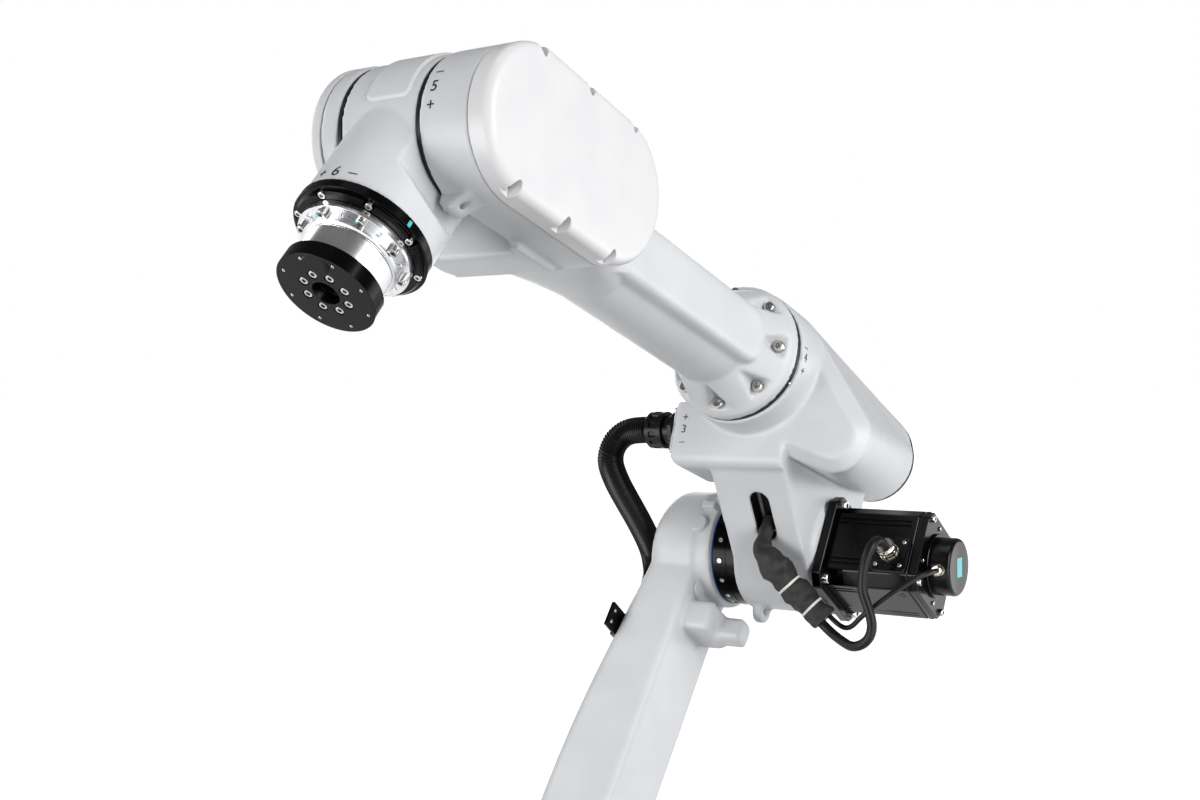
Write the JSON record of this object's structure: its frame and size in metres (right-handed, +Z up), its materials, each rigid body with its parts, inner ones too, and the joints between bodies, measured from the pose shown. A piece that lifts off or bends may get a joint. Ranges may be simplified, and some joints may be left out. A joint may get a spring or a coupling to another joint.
{
  "type": "six-axis industrial robot arm",
  "caption": "Floor-standing jointed robot arm for carrying a welding head: turntable, leaning lower arm, elbow with side motor and hose, round forearm, forked wrist and bare tool flange.",
  "frame": {"origin": "where the turning axis of the base meets the floor, at the middle of the foot plate", "axes": "+X forward, the way the arm reaches; +Y to the robot's left, the side of the elbow motor; +Z up"},
  "size_m": [1.1587, 0.468, 1.6341],
  "materials": {
    "pearl_grey_paint": "satin powder coat on castings",
    "white_cover": "satin moulded cover",
    "black_anodised": "black anodised",
    "motor_black": "gloss black enamel",
    "nickel_plugs": "nickel plated",
    "bright_aluminium": "turned",
    "steel_screws": "stainless",
    "black_rubber": "smooth",
    "black_conduit": "moulded polyamide",
    "black_fabric": "woven sleeve"
  },
  "bodies": {
    "base": {"base_casting": "pearl_grey_paint", "base_connector_panel": "bright_aluminium", "base_connectors": "nickel_plugs", "turntable_ring": "black_anodised"},
    "carousel": {"carousel_casting": "pearl_grey_paint", "axis2_ring": "black_anodised", "axis1_motor_flange": "motor_black", "axis1_motor_body": "motor_black", "axis1_motor_end_plate": "motor_black", "axis1_motor_encoder_cover": "motor_black", "axis2_motor_flange": "motor_black", "axis2_motor_body": "motor_black", "axis2_motor_end_plate": "motor_black", "axis2_motor_encoder_cover": "motor_black"},
    "lower_arm": {"lower_arm": "pearl_grey_paint", "axis3_ring": "black_anodised", "hose_bracket": "black_anodised", "lower_hose_gland": "black_conduit"},
    "elbow": {"elbow_casting": "pearl_grey_paint", "rear_cover": "black_anodised", "axis4_seal": "black_rubber", "gland_plate": "pearl_grey_paint", "hose_gland": "black_conduit", "axis3_motor_flange": "motor_black", "axis3_motor_body": "motor_black", "axis3_motor_end_plate": "motor_black", "axis3_motor_encoder_cover": "motor_black", "power_connector": "nickel_plugs", "encoder_connector": "nickel_plugs", "cable_sleeve": "black_fabric", "power_cable": "black_rubber", "encoder_cable": "black_rubber", "dress_hose": "black_conduit"},
    "forearm": {"forearm_casting": "pearl_grey_paint", "forearm_flange_screws": "steel_screws", "wrist_cover": "white_cover", "wrist_side_cap": "pearl_grey_paint", "axis5_seals": "black_rubber"},
    "wrist": {"wrist_casting": "pearl_grey_paint", "wrist_access_panel": "pearl_grey_paint", "axis6_ring": "black_anodised"},
    "tool": {"tool_adapter": "bright_aluminium", "tool_adapter_screws": "steel_screws", "tool_plate": "black_anodised", "tool_plate_screws": "steel_screws"}
  },
  "joints": [
    {"name": "axis1", "type": "hinge", "parent": "base", "child": "carousel", "pos_m": [0, 0, 0], "axis": [0, 0, 1], "range_deg": [-170, 170]},
    {"name": "axis2", "type": "hinge", "parent": "carousel", "child": "lower_arm", "pos_m": [0.16, 0, 0.5], "axis": [0, 1, 0], "range_deg": [-22, 114]},
    {"name": "axis3", "type": "hinge", "parent": "lower_arm", "child": "elbow", "pos_m": [-0.32637, 0, 1.12253], "axis": [0, -1, 0], "range_deg": [-54.41, 105.59], "deforming": ["dress_hose"]},
    {"name": "axis4", "type": "hinge", "parent": "elbow", "child": "forearm", "pos_m": [-0.13812, 0, 1.39116], "axis": [0.9542, 0, 0.2992], "range_deg": [-180, 180]},
    {"name": "axis5", "type": "hinge", "parent": "forearm", "child": "wrist", "pos_m": [0.40863, 0, 1.56261], "axis": [0, -1, 0], "range_deg": [-39.38, 170.62]},
    {"name": "axis6", "type": "hinge", "parent": "wrist", "child": "tool", "pos_m": [0.53791, 0, 1.41796], "axis": [0.6664, 0, -0.7456], "range_deg": [-360, 360]}
  ]
}
